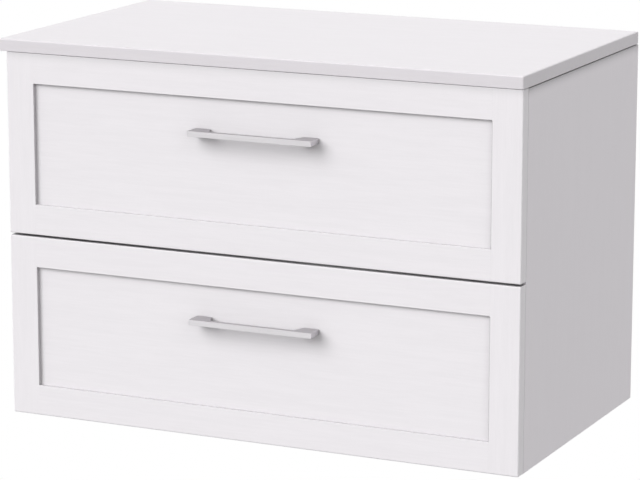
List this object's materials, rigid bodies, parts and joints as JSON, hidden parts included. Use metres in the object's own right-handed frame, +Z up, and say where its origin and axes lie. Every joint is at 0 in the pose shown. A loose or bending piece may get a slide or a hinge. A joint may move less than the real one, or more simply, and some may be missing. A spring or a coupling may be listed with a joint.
{
  "type": "floating vanity",
  "caption": "Wall-hung bathroom vanity: framed drawer fronts with bar handles, full-extension drawers on steel runners, a waste-pipe way and hidden wall hangers.",
  "frame": {"origin": "centre of the wall plates' screw pattern, on the wall plane, midway between the side panels", "axes": "+X to the right as seen from the front, +Y into the wall, +Z up; the drawers open towards -Y"},
  "size_m": [0.813, 0.482, 0.556],
  "materials": {
    "white_board": "satin white foil with a faint woodgrain",
    "drawer_board": "matt light grey melamine",
    "handle_metal": "satin brushed",
    "painted_sheet": "satin powder coat",
    "zinc_steel": "bright zinc plate",
    "grey_plastic": "matt moulded",
    "pad_elastomer": "matt"
  },
  "bodies": {
    "cabinet": {"side_panel_left": "white_board", "side_panel_right": "white_board", "base_panel": "white_board", "front_top_rail": "white_board", "back_rail_upper": "white_board", "back_rail_lower": "white_board", "worktop": "white_board", "worktop_brackets": "zinc_steel", "bracket_screws": "zinc_steel", "carcass_cams": "zinc_steel", "carcass_cam_bolts": "zinc_steel", "hanger_housings": "grey_plastic", "hanger_hooks": "zinc_steel", "hanger_screws": "zinc_steel", "wall_plates": "zinc_steel", "upper_cabinet_member_left": "zinc_steel", "upper_cabinet_member_right": "zinc_steel", "lower_cabinet_member_left": "zinc_steel", "lower_cabinet_member_right": "zinc_steel", "runner_screws": "zinc_steel", "soft_close_dampers": "grey_plastic", "bumper_pads": "pad_elastomer"},
    "upper_intermediate_left": {"upper_intermediate_member_left": "zinc_steel"},
    "upper_intermediate_right": {"upper_intermediate_member_right": "zinc_steel"},
    "lower_intermediate_left": {"lower_intermediate_member_left": "zinc_steel"},
    "lower_intermediate_right": {"lower_intermediate_member_right": "zinc_steel"},
    "upper_drawer": {"upper_front_stile_left": "white_board", "upper_front_stile_right": "white_board", "upper_front_top_rail": "white_board", "upper_front_bottom_rail": "white_board", "upper_front_panel": "white_board", "upper_handle": "handle_metal", "upper_handle_screws": "zinc_steel", "upper_drawer_side_left": "painted_sheet", "upper_drawer_side_right": "painted_sheet", "upper_drawer_base": "drawer_board", "upper_drawer_back_left": "drawer_board", "upper_drawer_back_right": "drawer_board", "pipe_way_side_left": "drawer_board", "pipe_way_side_right": "drawer_board", "pipe_way_front": "drawer_board", "upper_drawer_member_left": "zinc_steel", "upper_drawer_member_right": "zinc_steel", "upper_front_brackets": "zinc_steel", "upper_front_screws": "zinc_steel"},
    "lower_drawer": {"lower_front_stile_left": "white_board", "lower_front_stile_right": "white_board", "lower_front_top_rail": "white_board", "lower_front_bottom_rail": "white_board", "lower_front_panel": "white_board", "lower_handle": "handle_metal", "lower_handle_screws": "zinc_steel", "lower_drawer_side_left": "painted_sheet", "lower_drawer_side_right": "painted_sheet", "lower_drawer_base": "drawer_board", "lower_drawer_back": "drawer_board", "lower_drawer_member_left": "zinc_steel", "lower_drawer_member_right": "zinc_steel", "lower_front_brackets": "zinc_steel", "lower_front_screws": "zinc_steel"}
  },
  "joints": [
    {"name": "upper_drawer_slide", "type": "slide", "parent": "cabinet", "child": "upper_drawer", "axis": [0, -1, 0], "range_m": [0, 0.33]},
    {"name": "upper_intermediate_left_slide", "type": "slide", "parent": "cabinet", "child": "upper_intermediate_left", "axis": [0, -1, 0], "range_m": [0, 0.165]},
    {"name": "upper_intermediate_right_slide", "type": "slide", "parent": "cabinet", "child": "upper_intermediate_right", "axis": [0, -1, 0], "range_m": [0, 0.165]},
    {"name": "lower_drawer_slide", "type": "slide", "parent": "cabinet", "child": "lower_drawer", "axis": [0, -1, 0], "range_m": [0, 0.33]},
    {"name": "lower_intermediate_left_slide", "type": "slide", "parent": "cabinet", "child": "lower_intermediate_left", "axis": [0, -1, 0], "range_m": [0, 0.165]},
    {"name": "lower_intermediate_right_slide", "type": "slide", "parent": "cabinet", "child": "lower_intermediate_right", "axis": [0, -1, 0], "range_m": [0, 0.165]}
  ],
  "couplings": [
    {"joint": "upper_intermediate_left_slide", "follows": "upper_drawer_slide", "ratio": 0.5},
    {"joint": "upper_intermediate_right_slide", "follows": "upper_drawer_slide", "ratio": 0.5},
    {"joint": "lower_intermediate_left_slide", "follows": "lower_drawer_slide", "ratio": 0.5},
    {"joint": "lower_intermediate_right_slide", "follows": "lower_drawer_slide", "ratio": 0.5}
  ]
}
